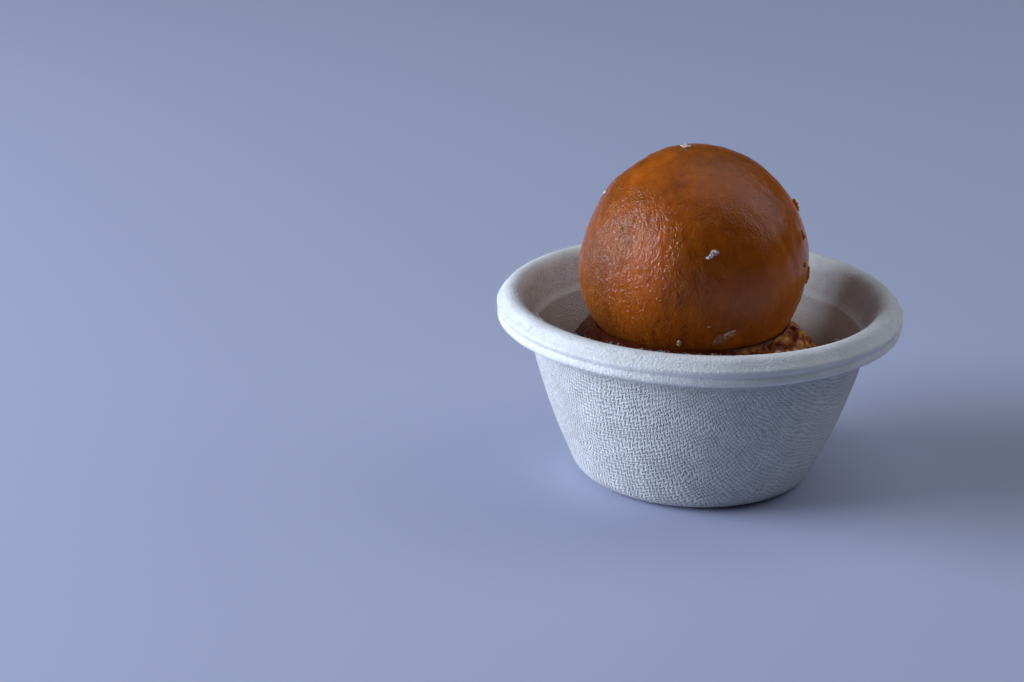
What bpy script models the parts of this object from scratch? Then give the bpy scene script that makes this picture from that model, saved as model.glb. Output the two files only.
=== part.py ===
"""A gulab jamun served in a moulded-fibre portion cup.

Three solids: the cup, the broken gulab jamun that is pressed into its bottom, and the whole one that
sits in the dent it has made there. Metres, +Z up. The origin is the middle of the cup's flat base.
Run with blender --background --python part.py, or from the text editor.
"""

import math

import bmesh
import bpy
import numpy as np

# --- Driving dimensions, in metres and degrees ---

TOUCH_GAP = 0.00035  # between pieces that rest on each other

# Cup: one sheet of pressed fibre, with a rolled rim that has two beads round its edge.
RIM_RADIUS = 0.0350
CUP_HEIGHT = 0.0326
CREST_CIRCLE = 0.0324  # radius of the circle that the rim's crest runs along
CREST_ROUND = 0.0021  # roundness of the crest itself
CREST_MIDDLE = (CREST_CIRCLE, CUP_HEIGHT - CREST_ROUND)
SHEET = 0.0008
UPPER_BEAD_ROUND = 0.00065
UPPER_BEAD_Z = 0.0304
LOWER_BEAD_ROUND = 0.0007
LOWER_BEAD_Z = 0.0286
LOWER_BEAD_INSET = 0.0001
GROOVE_DEPTH = 0.00045
SKIRT_INNER_RADIUS = 0.0336
BASE_CORNER_ROUND = 0.0047
BASE_CORNER_TURN = 64.0  # how far the corner turns before the wall goes on
WALL_FOOT_RADIUS = 0.0212
WALL_HEAD_RADIUS = 0.0296
WALL_HEAD_Z = 0.0269
WALL_BULGE = 0.0008
FLOOR_THICKNESS = 0.0009
FLOOR_CORNER_ROUND = BASE_CORNER_ROUND - FLOOR_THICKNESS
LOWER_WALL_THICKNESS = 0.00105  # measured level, below the ledge
LEDGE_INNER_RADIUS = 0.0282
LEDGE_OUTER_RADIUS = 0.0289
LEDGE_LOW_Z = 0.0259
LEDGE_HIGH_Z = 0.0269
# Where each round of the rim starts and ends, from +r towards +z.
HOLLOW_ARC = (186.0, 20.0)  # the hollow under the crest
LOWER_BEAD_ARC = (-110.0, 40.0)
UPPER_BEAD_ARC = (-45.0, 65.0)
OUTER_CREST_ARC = (52.0, 90.0)
LIP_ARC = (110.0, 160.0)
CUP_SEGMENTS = 60

# Whole gulab jamun: a ball rolled by hand, so it has shallow swells and flats.
BALL_RADIUS = 0.01975
BALL_CENTRE = (-0.0011, 0.0, 0.0388)
# Each: azimuth, elevation, spread, height.
BALL_SWELLS = (
    (188.0, -24.0, 27.0, 0.00068),
    (155.0, 52.0, 12.0, -0.00051),
    (175.0, 22.0, 18.0, -0.00064),
    (32.0, 58.0, 18.0, -0.00013),
    (-6.0, -15.0, 22.0, -0.00033),
    (268.0, 22.0, 30.0, 0.00020),
    (95.0, 8.0, 28.0, 0.00035),
    (55.0, -20.0, 22.0, -0.00035),
    (128.0, -12.0, 20.0, -0.00030),
    (2.0, 24.0, 16.0, -0.00030),
    (20.0, 40.0, 12.0, -0.00054),
)
BALL_TURNS = 40
BALL_LEVELS = 22

# Broken gulab jamun below it: squashed to the cup's shape, with a shoulder round the whole one.
LOWER_RADIUS = 0.0225
LOWER_WIDEST_Z = 0.0120
LOWER_RISE = 0.0173  # from its widest level to where its top would be without the dent
LOWER_SQUARENESS = 4.0  # exponent of its superellipse outline
LOWER_WALL_GAP = 0.0006
LUMP_LEVELS = 0.35  # how far a lump reaches up and down the side, as a share of the rise
# Each: azimuth, height up its side from 0 at the widest level to 1 at the top, spread, height.
LOWER_LUMPS = (
    (-2.0, 0.60, 14.0, 0.0009),
    (24.0, 0.55, 11.0, -0.0008),
    (-27.0, 0.62, 12.0, -0.0007),
    (48.0, 0.50, 14.0, 0.0007),
    (-52.0, 0.55, 15.0, 0.0005),
    (185.0, 0.60, 24.0, 0.0004),
    (112.0, 0.55, 20.0, -0.0006),
    (232.0, 0.50, 22.0, -0.0003),
)
LOWER_TURNS = 40
SIDE_LEVELS = (0.0, 0.05, 0.14, 0.28, 0.5, 0.75)  # rings below the widest level
SHOULDER_LEVELS = (0.0, 0.14, 0.32, 0.52, 0.72, 0.88, 1.0)  # rings from there to the dent's lip
DENT_LEVELS = (0.8, 0.6, 0.4, 0.2)  # rings down the dent
HALVINGS = 30

FIBRE = (0.84, 0.83, 0.80)
FRIED_SKIN = (0.42, 0.13, 0.025)
SOAKED_CRUMB = (0.33, 0.12, 0.035)
SHARP_EDGE = 55.0
MERGE = 0.000001


def clear_scene():
    for obj in list(bpy.data.objects):
        bpy.data.objects.remove(obj, do_unlink=True)


def finish_material(name, colour, roughness):
    """A plain surface of one colour."""
    material = bpy.data.materials.new(name)
    material.use_nodes = True
    shader = material.node_tree.nodes["Principled BSDF"]
    shader.inputs["Base Color"].default_value = (*colour, 1.0)
    shader.inputs["Roughness"].default_value = roughness
    shader.inputs["Metallic"].default_value = 0.0
    return material


def arc(centre, radius, span, count):
    """Points along an arc that spans these angles, in degrees from +r towards +z."""
    angles = np.radians(np.linspace(*span, count))
    return [(centre[0] + radius * math.cos(a), centre[1] + radius * math.sin(a)) for a in angles]


def wall_foot_z():
    """Height at which the base's round corner passes into the wall."""
    return BASE_CORNER_ROUND * (1 - math.cos(math.radians(BASE_CORNER_TURN)))


def outer_wall_radius(z):
    """The wall outside: a straight slope with a slight belly."""
    along = (z - wall_foot_z()) / (WALL_HEAD_Z - wall_foot_z())
    slope = WALL_FOOT_RADIUS + (WALL_HEAD_RADIUS - WALL_FOOT_RADIUS) * along
    return slope + WALL_BULGE * 4 * along * (1 - along)


def floor_corner_top_z():
    """Height at which the floor's round corner passes into the wall, inside."""
    return FLOOR_THICKNESS + FLOOR_CORNER_ROUND * (1 - math.cos(math.radians(BASE_CORNER_TURN)))


def inner_wall_radius(z):
    """The wall inside, below the ledge, down to the round corner of the floor."""
    corner_top = floor_corner_top_z()
    if z >= corner_top:
        return outer_wall_radius(z) - LOWER_WALL_THICKNESS
    corner_radius = outer_wall_radius(corner_top) - LOWER_WALL_THICKNESS
    corner_middle = corner_radius - FLOOR_CORNER_ROUND * math.sin(math.radians(BASE_CORNER_TURN))
    drop = FLOOR_CORNER_ROUND - max(z - FLOOR_THICKNESS, 0.0)
    return corner_middle + math.sqrt(FLOOR_CORNER_ROUND**2 - drop**2)


def cup_outside():
    """From the middle of the base out and up the wall, under the rim and down inside its skirt."""
    corner_middle = WALL_FOOT_RADIUS - BASE_CORNER_ROUND * math.sin(math.radians(BASE_CORNER_TURN))
    corner = arc((corner_middle, BASE_CORNER_ROUND), BASE_CORNER_ROUND, (-90, BASE_CORNER_TURN - 90), 6)
    wall = [(outer_wall_radius(z), z) for z in np.linspace(wall_foot_z(), WALL_HEAD_Z, 7)[1:]]
    hollow = arc(CREST_MIDDLE, CREST_ROUND - SHEET, HOLLOW_ARC, 7)
    skirt = [(SKIRT_INNER_RADIUS, LOWER_BEAD_Z)]
    return [(0.0, 0.0), *corner, *wall, *hollow, *skirt]


def rim_edge():
    """From the skirt's inner side round its foot, up over the two beads and on to the crest."""
    lower = (RIM_RADIUS - LOWER_BEAD_INSET - LOWER_BEAD_ROUND, LOWER_BEAD_Z)
    upper = (RIM_RADIUS - UPPER_BEAD_ROUND, UPPER_BEAD_Z)
    groove_z = (LOWER_BEAD_Z + UPPER_BEAD_Z) / 2
    groove = (RIM_RADIUS - GROOVE_DEPTH, groove_z)
    return [
        *arc(lower, LOWER_BEAD_ROUND, LOWER_BEAD_ARC, 5),
        groove,
        *arc(upper, UPPER_BEAD_ROUND, UPPER_BEAD_ARC, 5),
        *arc(CREST_MIDDLE, CREST_ROUND, OUTER_CREST_ARC, 3),
    ]


def cup_inside():
    """From the crest down the lip and the wall, past the ledge, to the middle of the floor."""
    lip = arc(CREST_MIDDLE, CREST_ROUND, LIP_ARC, 5)
    ledge = [(LEDGE_OUTER_RADIUS, LEDGE_HIGH_Z), (LEDGE_INNER_RADIUS, LEDGE_LOW_Z)]
    wall = [(inner_wall_radius(z), z) for z in np.linspace(LEDGE_LOW_Z, floor_corner_top_z(), 6)[1:]]
    turns = np.radians(np.linspace(BASE_CORNER_TURN, 0, 5)[1:])
    corner_heights = [FLOOR_THICKNESS + FLOOR_CORNER_ROUND * (1 - math.cos(turn)) for turn in turns]
    corner = [(inner_wall_radius(z), z) for z in corner_heights]
    return [*lip, *ledge, *wall, *corner, (0.0, FLOOR_THICKNESS)]


def turned_cup():
    """The cup's outline spun once round its upright axis."""
    shell = bmesh.new()
    points = [shell.verts.new((r, 0.0, z)) for r, z in [*cup_outside(), *rim_edge(), *cup_inside()]]
    edges = [shell.edges.new(pair) for pair in zip(points, points[1:])]
    bmesh.ops.spin(
        shell,
        geom=[*points, *edges],
        cent=(0, 0, 0),
        axis=(0, 0, 1),
        angle=math.tau,
        steps=CUP_SEGMENTS,
    )
    bmesh.ops.remove_doubles(shell, verts=shell.verts, dist=MERGE)
    return shell


def swells(azimuth, elevation, table):
    """Sum of round swells on a ball: each falls off with the angle from its own middle."""
    height = 0.0
    for middle_azimuth, middle_elevation, spread, rise in table:
        a, e, ma, me = np.radians((azimuth, elevation, middle_azimuth, middle_elevation))
        cosine = math.sin(e) * math.sin(me) + math.cos(e) * math.cos(me) * math.cos(a - ma)
        angle = math.degrees(math.acos(max(-1.0, min(1.0, cosine))))
        height += rise * math.exp(-((angle / spread) ** 2))
    return height


def ball_point(azimuth, elevation, clearance=0.0):
    """A point on the whole gulab jamun, or that far outside it."""
    radius = BALL_RADIUS + clearance + swells(azimuth, elevation, BALL_SWELLS)
    a, e = math.radians(azimuth), math.radians(elevation)
    across = radius * math.cos(e)
    return (
        BALL_CENTRE[0] + across * math.cos(a),
        BALL_CENTRE[1] + across * math.sin(a),
        BALL_CENTRE[2] + radius * math.sin(e),
    )


def closed_rings(rings, first, last):
    """A closed skin through rings of points, with a single point at each end."""
    skin = bmesh.new()
    loops = [[skin.verts.new(point) for point in ring] for ring in rings]
    ends = skin.verts.new(first), skin.verts.new(last)
    for low, high in zip(loops, loops[1:]):
        for here in range(len(low)):
            after = (here + 1) % len(low)
            skin.faces.new((low[here], low[after], high[after], high[here]))
    for end, loop in zip(ends, (loops[0], loops[-1])):
        for here in range(len(loop)):
            skin.faces.new((end, loop[here], loop[(here + 1) % len(loop)]))
    return skin


def whole_ball():
    """The fried ball, ring by ring from its bottom to its top."""
    elevations = np.linspace(-90, 90, BALL_LEVELS + 1)[1:-1]
    azimuths = np.arange(BALL_TURNS) * 360 / BALL_TURNS
    rings = [[ball_point(azimuth, elevation) for azimuth in azimuths] for elevation in elevations]
    return closed_rings(rings, ball_point(0, -90), ball_point(0, 90))


def lump_height(azimuth, level):
    """How far the broken piece's side stands proud or falls in, at this turn and this level."""
    height = 0.0
    for middle, middle_level, spread, rise in LOWER_LUMPS:
        turn = (azimuth - middle + 180) % 360 - 180
        height += rise * math.exp(-((turn / spread) ** 2) - ((level - middle_level) / LUMP_LEVELS) ** 2)
    return height


def shoulder_point(azimuth, bend):
    """A point on the broken piece's upper outside: bend is 0 at its widest level and 90 at the top."""
    power = 2 / LOWER_SQUARENESS
    out = math.cos(math.radians(bend)) ** power
    level = math.sin(math.radians(bend)) ** power
    radius = (LOWER_RADIUS + lump_height(azimuth, level)) * out
    a = math.radians(azimuth)
    return (radius * math.cos(a), radius * math.sin(a), LOWER_WIDEST_Z + LOWER_RISE * level)


def inside_ball(point):
    """True within the whole gulab jamun or its touch gap."""
    x, y, z = (value - middle for value, middle in zip(point, BALL_CENTRE))
    distance = math.sqrt(x * x + y * y + z * z)
    azimuth = math.degrees(math.atan2(y, x))
    elevation = math.degrees(math.asin(z / distance))
    return distance < BALL_RADIUS + TOUCH_GAP + swells(azimuth, elevation, BALL_SWELLS)


def lip_bend(azimuth):
    """Where the shoulder runs into the dent, found by halving."""
    low, high = 0.0, 90.0
    for _ in range(HALVINGS):
        middle = (low + high) / 2
        if inside_ball(shoulder_point(azimuth, middle)):
            high = middle
        else:
            low = middle
    return low


def side_point(azimuth, z):
    """A point on the broken piece's lower side, which follows the cup with a small gap."""
    radius = min(inner_wall_radius(z) - LOWER_WALL_GAP, LOWER_RADIUS + lump_height(azimuth, 0.0))
    a = math.radians(azimuth)
    return (radius * math.cos(a), radius * math.sin(a), z)


def dent_ring(lip, level):
    """A ring in the dent: level is 0 at its bottom and 1 at its lip."""
    ring = []
    for point in lip:
        x, y, z = (value - middle for value, middle in zip(point, BALL_CENTRE))
        lip_elevation = math.degrees(math.atan2(z, math.hypot(x, y)))
        elevation = -90 + level * (lip_elevation + 90)
        ring.append(ball_point(math.degrees(math.atan2(y, x)), elevation, TOUCH_GAP))
    return ring


def broken_piece():
    """The broken piece, from the middle of its underside up its side and down into the dent."""
    azimuths = np.arange(LOWER_TURNS) * 360 / LOWER_TURNS
    floor = FLOOR_THICKNESS + TOUCH_GAP
    bends = {azimuth: lip_bend(azimuth) for azimuth in azimuths}
    rings = []
    for level in SIDE_LEVELS:
        z = floor + level * (LOWER_WIDEST_Z - floor)
        rings.append([side_point(azimuth, z) for azimuth in azimuths])
    for level in SHOULDER_LEVELS:
        rings.append([shoulder_point(azimuth, level * bends[azimuth]) for azimuth in azimuths])
    lip = rings[-1]
    for level in DENT_LEVELS:
        rings.append(dent_ring(lip, level))
    return closed_rings(rings, (0.0, 0.0, floor), ball_point(0, -90, TOUCH_GAP))


def make_object(name, skin, material):
    """An object of this skin, its faces turned outwards, shaded smooth except at sharp edges."""
    bmesh.ops.recalc_face_normals(skin, faces=skin.faces)
    mesh = bpy.data.meshes.new(name)
    skin.to_mesh(mesh)
    skin.free()
    mesh.shade_smooth()
    mesh.set_sharp_from_angle(angle=math.radians(SHARP_EDGE))
    mesh.materials.append(material)
    obj = bpy.data.objects.new(name, mesh)
    bpy.context.scene.collection.objects.link(obj)
    return obj


clear_scene()
make_object("fibre_cup", turned_cup(), finish_material("moulded_fibre", FIBRE, 0.8))
make_object("gulab_jamun", whole_ball(), finish_material("fried_skin", FRIED_SKIN, 0.3))
make_object("lower_gulab_jamun", broken_piece(), finish_material("soaked_crumb", SOAKED_CRUMB, 0.35))
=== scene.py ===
"""A gulab jamun in a moulded-fibre portion cup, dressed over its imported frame.

Each section makes one piece: its sizes, its mesh, its material, and what it rides on. Metres, +Z up,
the origin in the middle of the cup's flat base. Angles are in degrees: azimuth turns from +X towards
+Y, and elevation rises from level.
"""

import math

import bpy
import numpy as np
from mathutils import Matrix


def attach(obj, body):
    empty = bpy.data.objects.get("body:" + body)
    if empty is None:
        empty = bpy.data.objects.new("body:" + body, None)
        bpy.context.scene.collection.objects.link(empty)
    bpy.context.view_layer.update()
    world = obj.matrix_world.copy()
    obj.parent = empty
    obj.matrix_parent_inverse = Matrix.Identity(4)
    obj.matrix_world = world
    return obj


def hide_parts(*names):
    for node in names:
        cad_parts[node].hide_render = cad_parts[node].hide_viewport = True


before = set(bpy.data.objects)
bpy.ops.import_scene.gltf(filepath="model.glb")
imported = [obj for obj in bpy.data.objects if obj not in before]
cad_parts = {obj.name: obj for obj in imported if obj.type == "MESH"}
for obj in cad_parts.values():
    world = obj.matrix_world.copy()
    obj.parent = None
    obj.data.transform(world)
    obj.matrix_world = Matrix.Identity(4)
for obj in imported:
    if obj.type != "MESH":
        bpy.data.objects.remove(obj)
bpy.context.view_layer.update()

# --- Studio: the view, a pale floor and soft light ---
# A long lens looks down on the cup from the front. A broad, low window on the left gives the form its
# light and dark side; a fainter panel overhead, a wall on the right and the pale room fill it.

CAMERA_PLACE = (-0.03220, -0.46539, 0.18804)
CAMERA_PITCH = 19.5315
CAMERA_ROLL = 1.3302
LENS = 100.0
SENSOR_WIDTH = 36.0
LIGHTS_AIM = 0.03  # height of the point that the lights face

lens = bpy.data.cameras.new("view")
lens.lens = LENS
lens.sensor_width = SENSOR_WIDTH
lens.clip_start = 0.01
lens.clip_end = 50.0
camera = bpy.data.objects.new("view", lens)
camera.matrix_world = (
    Matrix.Translation(CAMERA_PLACE)
    @ Matrix.Rotation(math.radians(90 - CAMERA_PITCH), 4, "X")
    @ Matrix.Rotation(math.radians(CAMERA_ROLL), 4, "Z")
)
bpy.context.scene.collection.objects.link(camera)
bpy.context.scene.camera = camera
bpy.context.scene.view_settings.view_transform = "Standard"


def soft_light(name, azimuth, elevation, distance, size, power, colour):
    """A rectangular light on a sphere round the lights' aim, facing it."""
    a, e = math.radians(azimuth), math.radians(elevation)
    panel = bpy.data.lights.new(name, "AREA")
    panel.shape = "RECTANGLE"
    panel.size, panel.size_y = size
    panel.energy = power
    panel.color = colour
    light = bpy.data.objects.new(name, panel)
    turn = Matrix.Rotation(a + math.pi / 2, 4, "Z") @ Matrix.Rotation(math.pi / 2 - e, 4, "X")
    out = (math.cos(a) * math.cos(e) * distance, math.sin(a) * math.cos(e) * distance)
    light.matrix_world = Matrix.Translation((*out, math.sin(e) * distance + LIGHTS_AIM)) @ turn
    bpy.context.scene.collection.objects.link(light)


soft_light("window", -174, 17, 0.80, (0.58, 0.52), 11.0, (0.73, 0.83, 1.0))
soft_light("overhead", 35, 67, 1.00, (1.10, 1.10), 3.2, (0.84, 0.90, 1.0))
soft_light("far_wall", 12, 33, 1.00, (0.80, 0.70), 1.8, (0.84, 0.88, 1.0))

room = bpy.data.worlds.new("pale_room")
room.use_nodes = True
room.node_tree.nodes["Background"].inputs["Color"].default_value = (0.70, 0.82, 1.0, 1.0)
room.node_tree.nodes["Background"].inputs["Strength"].default_value = 0.03
bpy.context.scene.world = room

FLOOR_REACH = 4.0
FLOOR_COLOUR = (0.44, 0.465, 0.62)


def add_node(tree, kind, inputs=(), **settings):
    """A node of this kind: inputs maps a socket's name or number to a value or to another socket."""
    node = tree.nodes.new(kind)
    for name, value in settings.items():
        setattr(node, name, value)
    for name, value in dict(inputs).items():
        if isinstance(value, bpy.types.NodeSocket):
            tree.links.new(value, node.inputs[name])
        else:
            node.inputs[name].default_value = value
    return node


def new_finish(name, constants):
    """A material with its tree and its Principled shader; constants maps its sockets to values."""
    material = bpy.data.materials.new(name)
    material.use_nodes = True
    tree = material.node_tree
    shader = tree.nodes["Principled BSDF"]
    for socket, value in constants.items():
        shader.inputs[socket].default_value = value
    return material, tree, shader


def mesh_object(name, points, faces, material):
    """An object of these points and faces, shaded smooth."""
    mesh = bpy.data.meshes.new(name)
    mesh.from_pydata(np.asarray(points).tolist(), [], faces)
    mesh.shade_smooth()
    mesh.materials.append(material)
    mesh.update()
    piece = bpy.data.objects.new(name, mesh)
    bpy.context.scene.collection.objects.link(piece)
    return piece


floor_finish = new_finish("pale_floor", {"Roughness": 0.75, "Base Color": (*FLOOR_COLOUR, 1.0)})[0]
corners = [(-FLOOR_REACH, -FLOOR_REACH, 0), (FLOOR_REACH, -FLOOR_REACH, 0)]
corners += [(FLOOR_REACH, FLOOR_REACH, 0), (-FLOOR_REACH, FLOOR_REACH, 0)]
floor = mesh_object("floor", corners, [(0, 1, 2, 3)], floor_finish)

# --- Cup ---
# One sheet of plant pulp, sucked on to a wire-mesh mould and pressed dry. The mesh has left its plain
# weave all over the outside, up to a plain band under the rim; inside and rim are pressed smooth. The
# colour carries painted shade in the weave's grooves, a painted shadow in the band under the rim, and a
# painted warm shade inside, for the dumplings' reflected light, that deepens towards the bottom.

RIM_RADIUS = 0.0350
CUP_HEIGHT = 0.0326
CREST_ROUND = 0.0021
CREST_MIDDLE = (0.0324, CUP_HEIGHT - CREST_ROUND)
SHEET = 0.0008
UPPER_BEAD = (RIM_RADIUS - 0.00065, 0.0304)
UPPER_BEAD_ROUND = 0.00065
LOWER_BEAD = (RIM_RADIUS - 0.0008, 0.0286)
LOWER_BEAD_ROUND = 0.0007
GROOVE = (RIM_RADIUS - 0.00045, 0.0295)
SKIRT_INNER_RADIUS = 0.0336
BASE_CORNER_ROUND = 0.0047
BASE_CORNER_TURN = 64.0
WALL_FOOT_RADIUS = 0.0212
WALL_FOOT_Z = BASE_CORNER_ROUND * (1 - math.cos(math.radians(BASE_CORNER_TURN)))
WALL_HEAD_RADIUS = 0.0296
WALL_HEAD_Z = 0.0269
WALL_BULGE = 0.0008
FLOOR_THICKNESS = 0.0009
FLOOR_CORNER_ROUND = BASE_CORNER_ROUND - FLOOR_THICKNESS
WALL_THICKNESS = 0.00105
LEDGE = ((0.0289, 0.0268), (0.0282, 0.0260))

WOVEN_TURNS = 640  # grid columns where the weave is
PLAIN_TURNS = 320  # grid columns elsewhere
WOVEN_ROWS = 100
RIM_ROWS = 62
INNER_ROWS = 34
FLAT_RINGS = 6  # rings across the base, and across the floor
RIM_SOFTNESS = 0.00007  # how far the pressed corners are rounded off
CORNER_SOFTNESS = 0.00020
LEDGE_SOFTNESS = 0.00035
RIM_GATHER = 0.0010
INNER_GATHER = 0.0060

MESH_TURN = -123.5  # azimuth where the mould's wires run straight up the wall
WIRE_PITCH = 0.00082
WIRE_WIDTH = 0.28  # of the groove that a wire leaves, in pitches
WIRE_WANDER = 0.28  # how far the wires stray, in pitches
WANDER_WAVE = 0.0050
UNDER_SHARE = 0.15  # how deep a wire prints where it runs under, next to where it runs over
IMPRINT_DEPTH = 0.00004  # of the soft print that is in the mesh
IMPRINT_STRENGTH = (0.8, 0.25)  # how hard the mould pressed it: the mean, and the spread
IMPRINT_LIMITS = (0.2, 1.3)
FINE_IMPRINT_DEPTH = 0.00014  # of the wires' own grooves, in the finish
PAINTED_GROOVE_SHADE = 0.42  # painted shade: how much darker the colour is at the bottom of a print
PAINTED_RIM_SHADOW = 0.65  # painted shadow under the rim, as a share of a groove's painted shade
WEAVE_START = (0.0006, 0.0012)  # the weave's start below the wall's head, and the length it takes
RIM_SHADOW_BAND = (0.0024, 0.0007)  # the painted shadow's height below the wall's head, and its fade
WARM_SHADE_DEPTH = 0.0070  # depth below the ledge where the painted warm shade is at its full
PULP_WAVE = 0.0060
PULP_RISE = 0.000015
FLAT_FOOT = 0.002  # height over which the pulp's waves fade out towards the flat base


def arc(centre, radius, span, count):
    """Points on a circle of this centre and radius, from the first angle to the last."""
    turn = np.radians(np.linspace(*span, count))
    return np.stack([centre[0] + radius * np.cos(turn), centre[1] + radius * np.sin(turn)], axis=1)


def outer_wall_radius(z):
    """The wall outside: straight from foot to head, plus a belly of bulge * 4 * along * (1 - along)."""
    along = (z - WALL_FOOT_Z) / (WALL_HEAD_Z - WALL_FOOT_Z)
    straight = WALL_FOOT_RADIUS + (WALL_HEAD_RADIUS - WALL_FOOT_RADIUS) * along
    return straight + WALL_BULGE * 4 * along * (1 - along)


def inner_wall_radius(z):
    """The wall inside: the outer radius less the thickness, with the floor's round corner below."""
    turn = math.radians(BASE_CORNER_TURN)
    corner_top = FLOOR_THICKNESS + FLOOR_CORNER_ROUND * (1 - math.cos(turn))
    corner_middle = outer_wall_radius(corner_top) - WALL_THICKNESS - FLOOR_CORNER_ROUND * math.sin(turn)
    drop = FLOOR_CORNER_ROUND - np.clip(z - FLOOR_THICKNESS, 0, FLOOR_CORNER_ROUND)
    corner = corner_middle + np.sqrt(FLOOR_CORNER_ROUND**2 - drop**2)
    return np.where(z >= corner_top, outer_wall_radius(z) - WALL_THICKNESS, corner)


def softened(points, count, softness, gather=0.0):
    """The line through these points with its corners rounded off: it is cut into equal steps, a
    quarter of the softness each, blurred by a bell curve of that width with its ends held, and cut
    again into lengths that are equal, or that shrink where it bends: each counts as its length plus
    gather times its turn."""
    points = np.asarray(points)
    along = np.concatenate([[0], np.hypot(*np.diff(points, axis=0).T).cumsum()])
    fine = np.arange(0, along[-1], softness / 4)
    line = np.stack([np.interp(fine, along, side) for side in points.T], axis=1)
    reach = 12  # steps from the bell's middle to its end, three widths away
    bell = np.exp(-0.5 * (np.arange(-reach, reach + 1) / 4) ** 2)
    bell /= bell.sum()
    held = np.pad(line, ((reach, reach), (0, 0)), "reflect", reflect_type="odd")
    line = np.stack([np.convolve(side, bell, "valid") for side in held.T], axis=1)
    line[0], line[-1] = points[0], points[-1]
    steps = np.diff(line, axis=0)
    turn = np.abs(np.gradient(np.unwrap(np.arctan2(steps[:, 1], steps[:, 0]))))
    along = np.concatenate([[0], (np.hypot(*steps.T) + gather * turn).cumsum()])
    even = np.linspace(0, along[-1], count)
    return np.stack([np.interp(even, along, side) for side in line.T], axis=1)


def woven_line():
    """The outside in section, from the base up its round corner and the wall to the rim's hollow."""
    reach = BASE_CORNER_ROUND * math.sin(math.radians(BASE_CORNER_TURN))
    middle = (WALL_FOOT_RADIUS - reach, BASE_CORNER_ROUND)
    corner = arc(middle, BASE_CORNER_ROUND, (-90, BASE_CORNER_TURN - 90), 20)
    heights = np.linspace(WALL_FOOT_Z, WALL_HEAD_Z, 60)[1:]
    wall = np.stack([outer_wall_radius(heights), heights], axis=1)
    return softened(np.concatenate([corner, wall]), WOVEN_ROWS, CORNER_SOFTNESS)


def rim_line():
    """The rim in section: its hollow, the skirt, two beads with a groove between, and the crest."""
    hollow = arc(CREST_MIDDLE, CREST_ROUND - SHEET, (186, 20), 16)
    skirt = [(SKIRT_INNER_RADIUS, LOWER_BEAD[1])]
    lower = arc(LOWER_BEAD, LOWER_BEAD_ROUND, (-110, 40), 9)
    upper = arc(UPPER_BEAD, UPPER_BEAD_ROUND, (-45, 65), 9)
    crest = arc(CREST_MIDDLE, CREST_ROUND, (52, 160), 24)
    head = [(WALL_HEAD_RADIUS, WALL_HEAD_Z)]
    line = np.concatenate([head, hollow, skirt, lower, [GROOVE], upper, crest, LEDGE[:1]])
    return softened(line, RIM_ROWS, RIM_SOFTNESS, RIM_GATHER)


def inner_line():
    """The inside in section, from the lip past the ledge and down the wall to the flat floor."""
    heights = np.linspace(LEDGE[1][1], FLOOR_THICKNESS, 60)[1:]
    wall = np.stack([inner_wall_radius(heights), heights], axis=1)
    return softened(np.concatenate([LEDGE, wall]), INNER_ROWS, LEDGE_SOFTNESS, INNER_GATHER)[1:]


def rolling(points, wavelength, seed, count=40):
    """A soft random field of unit spread: a sum of plane waves of about one length, with seeded
    directions and phases."""
    draw = np.random.default_rng(seed)
    direction = draw.normal(size=(3, count))
    direction /= np.linalg.norm(direction, axis=0)
    wave = 2 * np.pi / (wavelength * draw.uniform(0.75, 1.33, count))
    phase = draw.uniform(0, 2 * np.pi, count)
    return math.sqrt(2 / count) * np.cos(np.asarray(points) @ (direction * wave) + phase).sum(axis=-1)


def mesh_place(points, azimuth, radius, along):
    """Where a point of the outside lies on the mould's mesh, counted in wires. On the four sides the
    wires run straight up and level; in the four corners between, the mesh has sheared, and both sets
    of wires lean. With turn t from a side, the two counts are cos(t) and sin(t) times a reach that
    goes from the wall's own radius, near a side, to the mesh's length from the middle, at a corner."""
    turn = np.radians(azimuth - MESH_TURN)
    length = along + WALL_FOOT_RADIUS
    counts = []
    for share in (np.cos(turn), np.sin(turn)):
        lean = 1 - (1 - 2 * np.clip(share**2, 0, 0.5)) ** 2
        counts.append(share * (radius + (length - radius) * lean))
    wander = [WIRE_WANDER * rolling(points, WANDER_WAVE, seed) for seed in (15, 16)]
    return counts[0] / WIRE_PITCH + wander[0], counts[1] / WIRE_PITCH + wander[1]


def imprint(u, v):
    """Depth of the mesh's soft print from 0 to 1: the pulp swells in a pillow at every other crossing
    of the wires: 0.5 - 0.5 * cos(pi u) * cos(pi v)."""
    return 0.5 - 0.5 * np.cos(np.pi * u) * np.cos(np.pi * v)


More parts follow.
